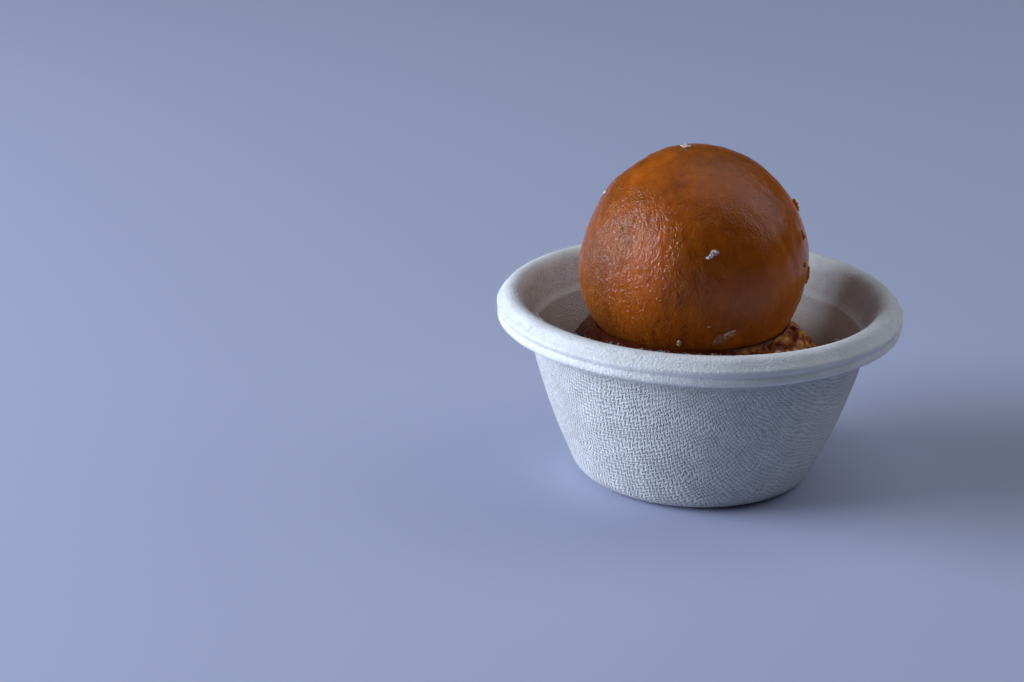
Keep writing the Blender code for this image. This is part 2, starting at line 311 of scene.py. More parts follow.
def cup_surface():
    """All points of the cup with their mesh counts and share of weave, and its faces. The section's
    line is turned round the upright axis in three bands of rows: base, woven outside, and rim with
    inside and floor. The woven rows have twice as many columns, and a ring of faces joins each band
    to the next. Soft print and pulp waves go along the normal and the radius."""
    woven, inside = woven_line(), inner_line()
    shrink = np.linspace(0, 1, FLAT_RINGS + 2)[1:-1]
    base = np.stack([woven[0, 0] * shrink, 0 * shrink], axis=1)
    flat_floor = np.stack([inside[-1, 0] * shrink[::-1], FLOOR_THICKNESS + 0 * shrink], axis=1)
    plain = np.concatenate([rim_line()[1:], inside, flat_floor])
    points, counts, share, faces = [np.zeros((1, 3))], [np.zeros((1, 2))], [np.zeros(1)], []
    start = 1
    ends = []
    for line, turns in ((base, PLAIN_TURNS), (woven, WOVEN_TURNS), (plain, PLAIN_TURNS)):
        azimuth = np.arange(turns) * 360 / turns
        spin = np.radians(azimuth)
        ring = np.stack([np.cos(spin), np.sin(spin)], axis=1)
        grid = np.empty((len(line), turns, 3))
        grid[:, :, :2] = line[:, None, :1] * ring
        grid[:, :, 2] = line[:, 1:]
        along = np.concatenate([[0], np.hypot(*np.diff(line, axis=0).T).cumsum()])
        u, v = mesh_place(grid, azimuth[None, :], line[:, :1], along[:, None] - BASE_CORNER_ROUND)
        weave = np.zeros((len(line), turns))
        if turns == WOVEN_TURNS:
            slope = np.gradient(line, axis=0)
            slope /= np.hypot(*slope.T)[:, None]
            normal = np.stack([slope[:, 1], -slope[:, 0]], axis=1)
            weave += np.clip((along[-1] - along - WEAVE_START[0]) / WEAVE_START[1], 0, 1)[:, None]
            strength = IMPRINT_STRENGTH[0] + IMPRINT_STRENGTH[1] * rolling(grid, PULP_WAVE, 11)
            sink = IMPRINT_DEPTH * imprint(u, v) * weave * np.clip(strength, *IMPRINT_LIMITS)
            grid[:, :, :2] -= sink[..., None] * normal[:, None, :1] * ring
            grid[:, :, 2] -= sink * normal[:, 1:]
        rows = start + np.arange(len(line))[:, None] * turns + np.arange(turns)
        after = np.roll(rows, -1, axis=1)
        faces += np.stack([rows[:-1], after[:-1], after[1:], rows[1:]], axis=-1).reshape(-1, 4).tolist()
        points.append(grid.reshape(-1, 3))
        counts.append(np.stack([u, v], axis=-1).reshape(-1, 2))
        share.append(weave.ravel())
        ends.append((rows[0], rows[-1]))
        start += len(line) * turns
    points.append([(0, 0, FLOOR_THICKNESS)])
    counts.append(np.zeros((1, 2)))
    share.append(np.zeros(1))
    for wide, fine, step in ((ends[0][1], ends[1][0], 1), (ends[2][0], ends[1][1], -1)):
        corners = [wide, np.roll(wide, -1), np.roll(fine, -2)[::2], np.roll(fine, -1)[::2], fine[::2]]
        faces += np.stack(corners[::step], axis=1).tolist()
    first, last = ends[0][0], ends[2][1]
    faces += np.stack([np.zeros_like(first), np.roll(first, -1), first], axis=1).tolist()
    faces += np.stack([np.full_like(last, start), last, np.roll(last, -1)], axis=1).tolist()
    points = np.concatenate(points)
    lift = PULP_RISE * (rolling(points, PULP_WAVE, 12) - 2) * np.clip(points[:, 2] / FLAT_FOOT, 0, 1)
    points[:, :2] *= (1 + lift / np.maximum(np.hypot(*points[:, :2].T), 0.01))[:, None]
    return points, np.concatenate(counts), np.concatenate(share), faces


def chain(tree, operation, *values):
    """A Math node of this operation on values or sockets, and its result."""
    return add_node(tree, "ShaderNodeMath", enumerate(values), operation=operation).outputs[0]


def wire_print(tree, across, along, sign):
    """The print of one set of wires: across a wire exp(-(off / width)^2). Along it, the wire goes over
    and under in turn, and prints deep only where it is over: a soft step of the cosine along it."""
    near = chain(tree, "ROUND", across)
    off = chain(tree, "DIVIDE", chain(tree, "SUBTRACT", across, near), WIRE_WIDTH)
    bell = chain(tree, "EXPONENT", chain(tree, "MULTIPLY", chain(tree, "MULTIPLY", off, off), -1.0))
    cosine = chain(tree, "COSINE", chain(tree, "MULTIPLY", chain(tree, "ADD", along, near), math.pi))
    over = add_node(
        tree,
        "ShaderNodeMapRange",
        {"Value": chain(tree, "MULTIPLY", cosine, sign), "From Min": -0.4, "From Max": 0.4},
        interpolation_type="SMOOTHSTEP",
    )
    deep = chain(tree, "MULTIPLY_ADD", over.outputs[0], 1 - UNDER_SHARE, UNDER_SHARE)
    return chain(tree, "MULTIPLY", bell, deep)


def fibre_finish():
    """Matt pulp: off-white with a faint warm mottle; short fibres and grain as fine relief. The cup's
    own attributes say where the mould's weave is, and where painted shade goes: in the weave's grooves, in
    a band under the rim as a painted shadow, and inside as a painted warm shade."""
    material, tree, shader = new_finish("moulded_fibre", {"Specular IOR Level": 0.5})
    place = add_node(tree, "ShaderNodeTexCoord").outputs["Object"]
    mottle = add_node(tree, "ShaderNodeTexNoise", {"Vector": place, "Scale": 240.0, "Detail": 4.0})
    grain = add_node(tree, "ShaderNodeTexNoise", {"Vector": place, "Scale": 2600.0, "Detail": 3.0})
    stretch = add_node(tree, "ShaderNodeMapping", {"Vector": place, "Scale": (500.0, 2600.0, 2600.0)})
    fibres = add_node(
        tree,
        "ShaderNodeTexNoise",
        {"Vector": stretch.outputs[0], "Scale": 1.0, "Detail": 2.0, "Distortion": 1.4},
    )
    tint = add_node(tree, "ShaderNodeValToRGB", {"Fac": mottle.outputs[0]})
    tint.color_ramp.elements[0].position = 0.30
    tint.color_ramp.elements[0].color = (0.71, 0.70, 0.68, 1)
    tint.color_ramp.elements[1].position = 0.68
    tint.color_ramp.elements[1].color = (0.81, 0.81, 0.80, 1)
    wires = add_node(tree, "ShaderNodeUVMap", uv_map="mesh_place").outputs[0]
    wire = add_node(tree, "ShaderNodeSeparateXYZ", {0: wires})
    share = add_node(tree, "ShaderNodeAttribute", attribute_name="weave").outputs["Fac"]
    tree.links.new(chain(tree, "MULTIPLY_ADD", share, 0.32, 0.50), shader.inputs["Roughness"])
    up, level = wire.outputs[0], wire.outputs[1]
    both = chain(tree, "MAXIMUM", wire_print(tree, up, level, 1.0), wire_print(tree, level, up, -1.0))
    patchy = add_node(tree, "ShaderNodeTexNoise", {"Vector": place, "Scale": 850.0, "Detail": 2.0})
    uneven = add_node(
        tree,
        "ShaderNodeMapRange",
        {"Value": patchy.outputs[0], "From Min": 0.35, "From Max": 0.65, "To Min": 0.75, "To Max": 1.10},
    )
    woven = chain(tree, "MULTIPLY", chain(tree, "MULTIPLY", both, uneven.outputs[0]), share)
    # Painted shadow: the pressed attribute marks a band under the rim that is darkened where the rim's
    # shadow falls.
    pressed = add_node(tree, "ShaderNodeAttribute", attribute_name="pressed").outputs["Fac"]
    shade_share = chain(tree, "MAXIMUM", woven, chain(tree, "MULTIPLY", pressed, PAINTED_RIM_SHADOW))
    # Painted shade: the colour is darkened in the print's grooves and in the band under the rim.
    depth = chain(tree, "MULTIPLY", shade_share, PAINTED_GROOVE_SHADE)
    shaded = add_node(
        tree,
        "ShaderNodeMix",
        {"Factor": depth, "A": tint.outputs[0], "B": (0.0, 0.0, 0.0, 1)},
        data_type="RGBA",
    )
    # Painted warm shade: the inside is darkened and warmed towards the bottom, for the shade there and the
    # dumplings' reflected light.
    stained = add_node(tree, "ShaderNodeAttribute", attribute_name="stained").outputs["Fac"]
    warmed = add_node(
        tree,
        "ShaderNodeMix",
        {"Factor": stained, "A": shaded.outputs["Result"], "B": (0.93, 0.76, 0.66, 1)},
        data_type="RGBA",
        blend_type="MULTIPLY",
    )
    tree.links.new(warmed.outputs["Result"], shader.inputs["Base Color"])
    sunk = add_node(tree, "ShaderNodeBump", {"Height": woven, "Distance": FINE_IMPRINT_DEPTH}, invert=True)
    nap = chain(tree, "MULTIPLY_ADD", fibres.outputs[0], 0.8, grain.outputs[0])
    rough = add_node(tree, "ShaderNodeBump", {"Height": nap, "Distance": 0.00013, "Normal": sunk.outputs[0]})
    tree.links.new(rough.outputs[0], shader.inputs["Normal"])
    return material


def mark(piece, **attributes):
    """Gives the piece's points these attributes, each a number for every point."""
    for name, values in attributes.items():
        attribute = piece.data.attributes.new(name, "FLOAT", "POINT")
        attribute.data.foreach_set("value", np.asarray(values, np.float32))


points, mesh_counts, weave_share, faces = cup_surface()
cup = mesh_object("cup_of_moulded_fibre", points, faces, fibre_finish())
loops = np.empty(len(cup.data.loops), dtype=np.int32)
cup.data.loops.foreach_get("vertex_index", loops)
wires = cup.data.uv_layers.new(name="mesh_place").uv
wires.foreach_set("vector", mesh_counts[loops].ravel().astype(np.float32))
inner_count = (INNER_ROWS - 1 + FLAT_RINGS) * PLAIN_TURNS + 1
inside = np.arange(len(points)) >= len(points) - inner_count
# Painted warm shade inside, deepening below the ledge.
stained = np.clip((LEDGE[0][1] - points[:, 2]) / WARM_SHADE_DEPTH, 0, 1) * inside
# Painted shadow: a band below the wall's head, darkened in the colour.
pressed = np.clip((points[:, 2] - WALL_HEAD_Z + RIM_SHADOW_BAND[0]) / RIM_SHADOW_BAND[1], 0, 1) * (weave_share > 0)
mark(cup, weave=weave_share, stained=stained, pressed=pressed)
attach(cup, "root")
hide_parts("fibre_cup")

# --- Whole gulab jamun ---
# A ball of milk-solid dough, rolled by hand, fried brown and soaked in syrup. Its skin is a thin,
# leathery, wet crust with fine wrinkles, amber where it is thin and red-brown where it is thick.

BALL_RADIUS = 0.01975
BALL_CENTRE = np.array((-0.0011, 0.0, 0.0388))
# Each: azimuth, elevation, spread, height.
BALL_SWELLS = (
    (188.0, -24.0, 27.0, 0.00068),
    (155.0, 52.0, 12.0, -0.00051),
    (175.0, 22.0, 18.0, -0.00064),
    (32.0, 58.0, 18.0, -0.00013),
    (-6.0, -15.0, 22.0, -0.00033),
    (268.0, 22.0, 30.0, 0.00020),
    (95.0, 8.0, 28.0, 0.00035),
    (55.0, -20.0, 22.0, -0.00035),
    (128.0, -12.0, 20.0, -0.00030),
    (2.0, 24.0, 16.0, -0.00030),
    (20.0, 40.0, 12.0, -0.00054),
)
BALL_GRID = 126  # squares along each side of the six patches
# Relief of the skin: height and wavelength.
CREASES = (0.00004, 0.0012)
PIMPLES = (0.000016, 0.0010)
UNDULATION = (0.00003, 0.0028)
SKIN_SINK = 0.00009  # how far the skin lies inside the ball's form, to make room for its relief
UPRIGHT_STRETCH = 0.6  # one over how much longer the relief is up and down than sideways
LEAST_WRINKLED = 0.45
# Where the skin is fried less or more, and where it is darkened as painted shade on the left side and the
# top, where the light falls strongest. Each: azimuth, elevation, spread, share.
TONE_AND_SHADE_PLACES = (
    (178.0, 10.0, 40.0, -0.35),
    (172.0, 48.0, 30.0, -0.22),
    (-60.0, 82.0, 26.0, -0.18),
    (-150.0, -28.0, 28.0, -0.20),
    (-138.0, 15.0, 26.0, -0.20),
    (-122.0, -36.0, 20.0, -0.10),
    (-108.0, 46.0, 17.0, 0.04),
    (-124.0, 10.0, 18.0, 0.12),
    (-84.0, 2.0, 17.0, -0.06),
    (-40.0, 25.0, 32.0, 0.10),
    (-95.0, -35.0, 20.0, -0.10),
    (60.0, -20.0, 35.0, 0.20),
    (120.0, 30.0, 25.0, -0.12),
)
# Where the skin is wrinkled more or less. Each: azimuth, elevation, spread, share.
WRINKLED_PLACES = (
    (-134.0, -8.0, 32.0, 0.80),
    (-125.0, 36.0, 22.0, 0.15),
    (-35.0, 10.0, 40.0, -0.25),
    (-95.0, -45.0, 25.0, -0.25),
)


def heading(azimuth, elevation):
    """Unit vectors that point this way."""
    a, e = np.radians(azimuth), np.radians(elevation)
    return np.stack([np.cos(a) * np.cos(e), np.sin(a) * np.cos(e), np.sin(e) + 0 * a], axis=-1)


def ball_radius(way):
    """The ball's radius in these directions: each swell adds height * exp(-(angle / spread)^2)."""
    radius = np.full(way.shape[:-1], BALL_RADIUS)
    for azimuth, elevation, spread, height in BALL_SWELLS:
        angle = np.degrees(np.arccos(np.clip(way @ heading(azimuth, elevation), -1, 1)))
        radius += height * np.exp(-((angle / spread) ** 2))
    return radius


def shares(way, places):
    """The sum of these places' shares in these directions: each is share * exp(-(angle / spread)^2)."""
    total = np.zeros(len(way))
    for azimuth, elevation, spread, share in places:
        angle = np.degrees(np.arccos(np.clip(way @ heading(azimuth, elevation), -1, 1)))
        total += share * np.exp(-((angle / spread) ** 2))
    return total


def six_patches(squares):
    """Unit vectors and faces of a ball made of six square grids. Each grid's two parameters run from
    -45 to 45 degrees, and their tangents are the place on a cube's side."""
    turn = np.tan(np.linspace(-np.pi / 4, np.pi / 4, squares + 1))
    across, up = np.meshgrid(turn, turn, indexing="ij")
    side = np.stack([np.ones_like(across), across, up], axis=-1)
    patches = []
    for shift in range(3):
        for sign in (1, -1):
            patches.append(np.roll(side * (sign, 1, sign), shift, axis=-1))
    way = np.concatenate([patch.reshape(-1, 3) for patch in patches])
    way /= np.linalg.norm(way, axis=1)[:, None]
    grid = np.arange((squares + 1) ** 2).reshape(squares + 1, -1)
    quads = np.stack([grid[:-1, :-1], grid[1:, :-1], grid[1:, 1:], grid[:-1, 1:]], axis=-1).reshape(-1, 4)
    faces = np.concatenate([quads + number * grid.size for number in range(6)])
    _, first, same = np.unique(np.round(way, 7), axis=0, return_index=True, return_inverse=True)
    faces = same.ravel()[faces]
    way = way[first]
    corner = way[faces]
    facing = (np.cross(corner[:, 1] - corner[:, 0], corner[:, 2] - corner[:, 0]) * corner[:, 0]).sum(axis=1)
    faces[facing < 0] = faces[facing < 0, ::-1]
    return way, faces


def wrinkles(points, wavelength, seed):
    """Fine creases: the zero lines of a soft random field, each a valley with rounded banks, as
    1 - exp(-(field / 0.42)^2)."""
    field = rolling(points, wavelength, seed, 60) + 0.5 * rolling(points, wavelength * 0.55, seed + 1, 60)
    return 1 - np.exp(-((field / 0.42) ** 2))


def skin_finish():
    """Wet fried skin: amber where it is pale, red-brown where it is not, in soft clouds with darker
    freckles, and darker on the left side and the top as painted shade. A syrup coat lies on fine creases
    that run mostly up and down."""
    constants = {
        "Roughness": 0.50,
        "Specular IOR Level": 0.0,
        "Coat Weight": 0.75,
        "Coat Roughness": 0.08,
        "Coat IOR": 1.42,
        "Subsurface Weight": 0.9,
        "Subsurface Radius": (1.0, 0.32, 0.06),
        "Subsurface Scale": 0.006,
    }
    material, tree, shader = new_finish("fried_skin", constants)
    place = add_node(tree, "ShaderNodeTexCoord").outputs["Object"]
    stretch = add_node(tree, "ShaderNodeMapping", {"Vector": place, "Scale": (1.0, 1.0, 0.5)}).outputs[0]
    clouds = add_node(tree, "ShaderNodeTexNoise", {"Vector": stretch, "Scale": 110.0, "Detail": 4.0})
    # The pale attribute is the skin's own fried tone and, darker on the left side and the top, painted
    # shade.
    pale = add_node(tree, "ShaderNodeAttribute", attribute_name="pale").outputs["Fac"]
    fried = chain(tree, "MULTIPLY_ADD", clouds.outputs[0], 0.9, pale)
    amber = add_node(tree, "ShaderNodeValToRGB", {"Fac": fried})
    amber.color_ramp.elements[0].position = 0.15
    amber.color_ramp.elements[0].color = (0.20, 0.050, 0.0050, 1)
    amber.color_ramp.elements[1].position = 0.95
    amber.color_ramp.elements[1].color = (0.52, 0.175, 0.008, 1)
    amber.color_ramp.elements.new(0.48).color = (0.44, 0.104, 0.0065, 1)
    freckles = add_node(tree, "ShaderNodeTexNoise", {"Vector": stretch, "Scale": 1000.0, "Detail": 3.0})
    shade = add_node(tree, "ShaderNodeValToRGB", {"Fac": freckles.outputs[0]})
    shade.color_ramp.elements[0].position = 0.30
    shade.color_ramp.elements[0].color = (0.74, 0.66, 0.60, 1)
    shade.color_ramp.elements[1].position = 0.62
    shade.color_ramp.elements[1].color = (1.0, 1.0, 1.0, 1)
    mixed = add_node(
        tree,
        "ShaderNodeMix",
        {"Factor": 0.8, "A": amber.outputs[0], "B": shade.outputs[0]},
        data_type="RGBA",
        blend_type="MULTIPLY",
    )
    tree.links.new(mixed.outputs["Result"], shader.inputs["Base Color"])
    streaks = add_node(tree, "ShaderNodeMapping", {"Vector": place, "Scale": (1.0, 1.0, 0.55)}).outputs[0]
    creases = add_node(
        tree,
        "ShaderNodeTexNoise",
        {"Vector": streaks, "Scale": 1450.0, "Detail": 2.0, "Distortion": 0.25},
    )
    ridges = chain(tree, "ABSOLUTE", chain(tree, "SUBTRACT", creases.outputs[0], 0.5))
    pores = add_node(tree, "ShaderNodeTexNoise", {"Vector": place, "Scale": 3000.0, "Detail": 1.0})
    height = chain(tree, "MULTIPLY_ADD", pores.outputs[0], 0.20, ridges)
    wrinkled = add_node(tree, "ShaderNodeAttribute", attribute_name="wrinkled").outputs["Fac"]
    height = chain(tree, "MULTIPLY", height, wrinkled)
    fine = add_node(tree, "ShaderNodeBump", {"Height": height, "Distance": 0.00060})
    tree.links.new(fine.outputs[0], shader.inputs["Normal"])
    tree.links.new(fine.outputs[0], shader.inputs["Coat Normal"])
    return material


way, faces = six_patches(BALL_GRID)
points = BALL_CENTRE + way * ball_radius(way)[:, None]
upright = points * (1, 1, UPRIGHT_STRETCH)
wrinkled = LEAST_WRINKLED + shares(way, WRINKLED_PLACES)
relief = CREASES[0] * wrinkled * wrinkles(upright, CREASES[1], 21)
relief += UNDULATION[0] * rolling(upright, UNDULATION[1], 23)
relief += PIMPLES[0] * wrinkled * rolling(upright, PIMPLES[1], 25, 90)
points += way * (relief - SKIN_SINK)[:, None]
ball = mesh_object("whole_gulab_jamun", points, faces.tolist(), skin_finish())
# Fried tone, with painted shade on the left side and the top.
mark(ball, pale=shares(way, TONE_AND_SHADE_PLACES), wrinkled=wrinkled)
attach(ball, "root")
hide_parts("gulab_jamun")

# --- Broken gulab jamun ---
# A second one, pressed into the cup under the first. Its skin is whole on the left, red-brown and
# painted much darker than the whole one's, as painted shade under it; on the right it has split, and
# the soaked crumb inside stands open in soft, wet grains.

LOWER_RADIUS = 0.0225
LOWER_WIDEST_Z = 0.0120
LOWER_RISE = 0.0173
LOWER_POWER = 0.5  # two over the exponent of its superellipse outline
LOWER_WALL_GAP = 0.0006
LUMP_LEVELS = 0.35
TOUCH_GAP = 0.00015
TORN_MIDDLE = -5.0  # the torn side's azimuth, with half its width and the width of its edge
TORN_HALF_WIDTH = 78.0
TORN_EDGE = 18.0
TORN_RAGGED = (0.25, 0.004)  # how far the edge strays, as a share of its width, and the wavelength
LEAST_OPEN = 0.05  # the least share of crumb where a grain may stand
# Grains of the crumb, coarse to fine: number, least and most radius, share of their height.
GRAINS = (
    (50, 0.0010, 0.0018, 0.62),
    (450, 0.0004, 0.0009, 0.65),
    (1300, 0.0002, 0.0004, 0.80),
)
GRAIN_PILE = 0.25  # the share of its height that a grain adds on top of the coarser ones
GRAIN_START = (40, 25)  # the ring where the grains start, and the rings over which they grow
GRAIN_END = 6  # the rings below the lip over which they end
CRUMB_SINK = 0.0013
CRUMB_UNDULATION = (0.00006, 0.0022)  # height and wavelength
SAG = (12.0, 28.0, 0.0009)  # where the torn side has sunk in: azimuth, spread, depth
SIDE_RINGS = 23  # rings of the mesh: up the side, over the shoulder and down in the dent
SHOULDER_RINGS = 110
DENT_RINGS = 44
SIDE_SPACING = 1.6  # a power: the rings lie closer together near the floor
SHOULDER_SPACING = 0.8  # a power: the rings lie closer together near the lip
DENT_MIDDLE_RISE = 0.0002  # how far the dent's middle stands above the ring round it
# Each: azimuth, level, spread, height.
LOWER_LUMPS = (
    (-2.0, 0.60, 14.0, 0.0009),
    (24.0, 0.55, 11.0, -0.0008),
    (-27.0, 0.62, 12.0, -0.0007),
    (48.0, 0.50, 14.0, 0.0007),
    (-52.0, 0.55, 15.0, 0.0005),
    (185.0, 0.60, 24.0, 0.0004),
    (112.0, 0.55, 20.0, -0.0006),
    (232.0, 0.50, 22.0, -0.0003),
)
LOWER_TURNS = 400


def shoulder(azimuth, bend):
    """Points on the broken piece's upper outside: a superellipse in section, whose radius takes the
    lumps, each height * exp(-(turn / spread)^2 - ((level - its level) / LUMP_LEVELS)^2)."""
    out = np.cos(np.radians(bend)) ** LOWER_POWER
    level = np.sin(np.radians(bend)) ** LOWER_POWER
    radius = LOWER_RADIUS + 0 * level
    for middle, middle_level, spread, rise in LOWER_LUMPS:
        turn = (azimuth - middle + 180) % 360 - 180
        off_level = (level - middle_level) / LUMP_LEVELS
        radius = radius + rise * np.exp(-((turn / spread) ** 2) - off_level**2)
    a = np.radians(azimuth)
    height = LOWER_WIDEST_Z + LOWER_RISE * level
    return np.stack([radius * out * np.cos(a), radius * out * np.sin(a), height], axis=-1)


def above_ball(points):
    """How far these points lie outside the whole ball and its touch gap."""
    offset = points - BALL_CENTRE
    distance = np.linalg.norm(offset, axis=-1)
    return distance - ball_radius(offset / distance[..., None]) - TOUCH_GAP


def lower_surface():
    """The broken piece's points, ring by ring: from the floor up its side, over the shoulder to the
    lip, where the shoulder meets the ball, found by halving, and down into the dent."""
    azimuth = np.arange(LOWER_TURNS) * 360 / LOWER_TURNS
    low, high = np.zeros(LOWER_TURNS), np.full(LOWER_TURNS, 90.0)
    for _ in range(30):
        middle = (low + high) / 2
        within = above_ball(shoulder(azimuth, middle)) < 0
        high = np.where(within, middle, high)
        low = np.where(within, low, middle)
    floor_z = FLOOR_THICKNESS + TOUCH_GAP
    climb = np.linspace(0, 1, SIDE_RINGS + 1)[:-1] ** SIDE_SPACING
    heights = floor_z + (LOWER_WIDEST_Z - floor_z) * climb
    widest = np.linalg.norm(shoulder(azimuth, np.zeros(LOWER_TURNS))[:, :2], axis=1)
    a = np.radians(azimuth)
    rings = []
    for z in heights:
        radius = np.minimum(inner_wall_radius(np.array(z)) - LOWER_WALL_GAP, widest)
        rings.append(np.stack([radius * np.cos(a), radius * np.sin(a), np.full(LOWER_TURNS, z)], axis=1))
    for share in np.linspace(0, 1, SHOULDER_RINGS) ** SHOULDER_SPACING:
        rings.append(shoulder(azimuth, share * low))
    lip = rings[-1] - BALL_CENTRE
    lip_azimuth = np.degrees(np.arctan2(lip[:, 1], lip[:, 0]))
    lip_elevation = np.degrees(np.arctan2(lip[:, 2], np.hypot(lip[:, 0], lip[:, 1])))
    for share in np.linspace(1, 0, DENT_RINGS + 2)[1:-1]:
        way = heading(lip_azimuth, -90 + share * (lip_elevation + 90))
        rings.append(BALL_CENTRE + way * (ball_radius(way) + TOUCH_GAP)[:, None])
    return np.stack(rings)


def domes(points, seeds, radii):
    """Rounded grains: the highest, at each point, of half balls of these radii on these seeds."""
    height = np.zeros(len(points))
    for seed, radius in zip(seeds, radii):
        square = ((points - seed) ** 2).sum(axis=1)
        height = np.maximum(height, np.sqrt(np.clip(radius**2 - square, 0, None)))
    return height


def ring_faces(rings, turns):
    """Quads between the rings of a closed skin, with a fan to one point at each end."""
    rows = np.arange(rings)[:, None] * turns + np.arange(turns)
    after = np.roll(rows, -1, axis=1)
    faces = np.stack([rows[:-1], after[:-1], after[1:], rows[1:]], axis=-1).reshape(-1, 4).tolist()
    first, last = rings * turns, rings * turns + 1
    faces += np.stack([np.full(turns, first), after[0], rows[0]], axis=1).tolist()
    faces += np.stack([np.full(turns, last), rows[-1], after[-1]], axis=1).tolist()
    return faces


def crumb_finish():
    """Wet fried skin, painted much darker than the whole one's as painted shade, that passes into open
    crumb: red-brown, with amber and honey-yellow grains that stand out from it, wet all over with syrup."""
    constants = {
        "Roughness": 0.45,
        "Specular IOR Level": 0.0,
        "Coat Weight": 0.55,
        "Coat Roughness": 0.13,
        "Coat IOR": 1.40,
        "Subsurface Weight": 0.3,
        "Subsurface Radius": (1.0, 0.45, 0.1),
        "Subsurface Scale": 0.0012,
    }
    material, tree, shader = new_finish("soaked_crumb", constants)
    place = add_node(tree, "ShaderNodeTexCoord").outputs["Object"]
    open_share = add_node(tree, "ShaderNodeAttribute", attribute_name="open").outputs["Fac"]
    clouds = add_node(tree, "ShaderNodeTexNoise", {"Vector": place, "Scale": 520.0, "Detail": 4.0})
    grain = add_node(tree, "ShaderNodeTexNoise", {"Vector": place, "Scale": 2200.0, "Detail": 3.0})
    crumb = add_node(tree, "ShaderNodeValToRGB", {"Fac": clouds.outputs[0]})
    crumb.color_ramp.elements[0].position = 0.38
    crumb.color_ramp.elements[0].color = (0.13, 0.019, 0.003, 1)
    crumb.color_ramp.elements[1].position = 0.66
    crumb.color_ramp.elements[1].color = (0.62, 0.28, 0.060, 1)
    crumb.color_ramp.elements.new(0.50).color = (0.32, 0.082, 0.011, 1)
    # Painted shade: the whole skin is far darker than the whole one's fried skin.
    skin = add_node(tree, "ShaderNodeValToRGB", {"Fac": clouds.outputs[0]})
    skin.color_ramp.elements[0].color = (0.055, 0.007, 0.003, 1)
    skin.color_ramp.elements[1].color = (0.11, 0.018, 0.004, 1)
    mixed = add_node(
        tree,
        "ShaderNodeMix",
        {"Factor": open_share, "A": skin.outputs[0], "B": crumb.outputs[0]},
        data_type="RGBA",
    )
    tree.links.new(mixed.outputs["Result"], shader.inputs["Base Color"])
    fine = add_node(tree, "ShaderNodeBump", {"Height": grain.outputs[0], "Distance": 0.00018})
    tree.links.new(fine.outputs[0], shader.inputs["Normal"])
    tree.links.new(fine.outputs[0], shader.inputs["Coat Normal"])
    return material


rings = lower_surface()
slope_up = np.gradient(rings, axis=0)
slope_round = (np.roll(rings, -1, axis=1) - np.roll(rings, 1, axis=1)) / 2
normal = np.cross(slope_round, slope_up)
normal /= np.linalg.norm(normal, axis=-1)[..., None] + 1e-12
azimuth = np.degrees(np.arctan2(rings[..., 1], rings[..., 0]))
ring_number = np.arange(len(rings))[:, None] + 0 * azimuth
lip_ring = SIDE_RINGS + SHOULDER_RINGS
on_shoulder = np.clip((ring_number - GRAIN_START[0]) / GRAIN_START[1], 0, 1)
on_shoulder *= np.clip((lip_ring - ring_number) / GRAIN_END, 0, 1)
off_middle = np.abs((azimuth - TORN_MIDDLE + 180) % 360 - 180)
ragged = TORN_RAGGED[0] * rolling(rings, TORN_RAGGED[1], 33)
torn = np.clip((TORN_HALF_WIDTH - off_middle) / TORN_EDGE + ragged, 0, 1)
draw = np.random.default_rng(34)
flat = rings.reshape(-1, 3)
candidates = np.flatnonzero((on_shoulder * torn).ravel() > LEAST_OPEN)
grains = np.zeros(len(flat))
for count, least, most, flatten in GRAINS:
    seeds = flat[draw.choice(candidates, count, replace=False)]
    lift = domes(flat, seeds, draw.uniform(least, most, count))
    grains = np.maximum(grains, flatten * lift) + GRAIN_PILE * flatten * lift
sag = SAG[2] * np.exp(-(((azimuth - SAG[0]) / SAG[1]) ** 2))
relief = (grains.reshape(azimuth.shape) - CRUMB_SINK - sag) * torn * on_shoulder
relief += CRUMB_UNDULATION[0] * rolling(rings, CRUMB_UNDULATION[1], 35) * on_shoulder
rings = rings + normal * relief[..., None]
sunk = np.minimum(above_ball(rings), 0)
offset = rings - BALL_CENTRE
rings = rings - offset / np.linalg.norm(offset, axis=-1)[..., None] * sunk[..., None]
foot = (0, 0, FLOOR_THICKNESS + TOUCH_GAP)
dent_middle = BALL_CENTRE - (0, 0, BALL_RADIUS + TOUCH_GAP - DENT_MIDDLE_RISE)
points = np.concatenate([rings.reshape(-1, 3), [foot, dent_middle]])
lower = mesh_object("broken_gulab_jamun", points, ring_faces(len(rings), LOWER_TURNS), crumb_finish())
mark(lower, open=np.concatenate([(torn * on_shoulder).ravel(), [0, 0]]))
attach(lower, "root")
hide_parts("lower_gulab_jamun")

# --- Milk flecks ---
# Crumbs and one smear of dried milk that stuck to the whole one's wet skin while it was handled. The
# smear is thin, and soaked through at its edge.

# Each: azimuth, elevation, half length, half width, half thickness, turn from level.
MILK_FLECKS = (
    (-84.3, 20.2, 0.00062, 0.00050, 0.00042, 20.0),
    (-85.6, 19.0, 0.00040, 0.00034, 0.00030, 60.0),
    (-87.2, 18.0, 0.00030, 0.00024, 0.00022, 40.0),
    (152.7, 82.5, 0.00090, 0.00050, 0.00030, 60.0),
    (176.0, 34.9, 0.00036, 0.00030, 0.00024, 50.0),
    (-100.5, -28.2, 0.00045, 0.00032, 0.00018, 70.0),
    (-100.9, -30.2, 0.00030, 0.00024, 0.00016, 10.0),
    (-85.2, -17.4, 0.00018, 0.00014, 0.00012, 0.0),
    (-72.6, -20.9, 0.00056, 0.00022, 0.00022, 20.0),
    (-74.4, -21.6, 0.00050, 0.00020, 0.00020, 30.0),
    (-76.2, -23.0, 0.00040, 0.00018, 0.00018, 40.0),
)
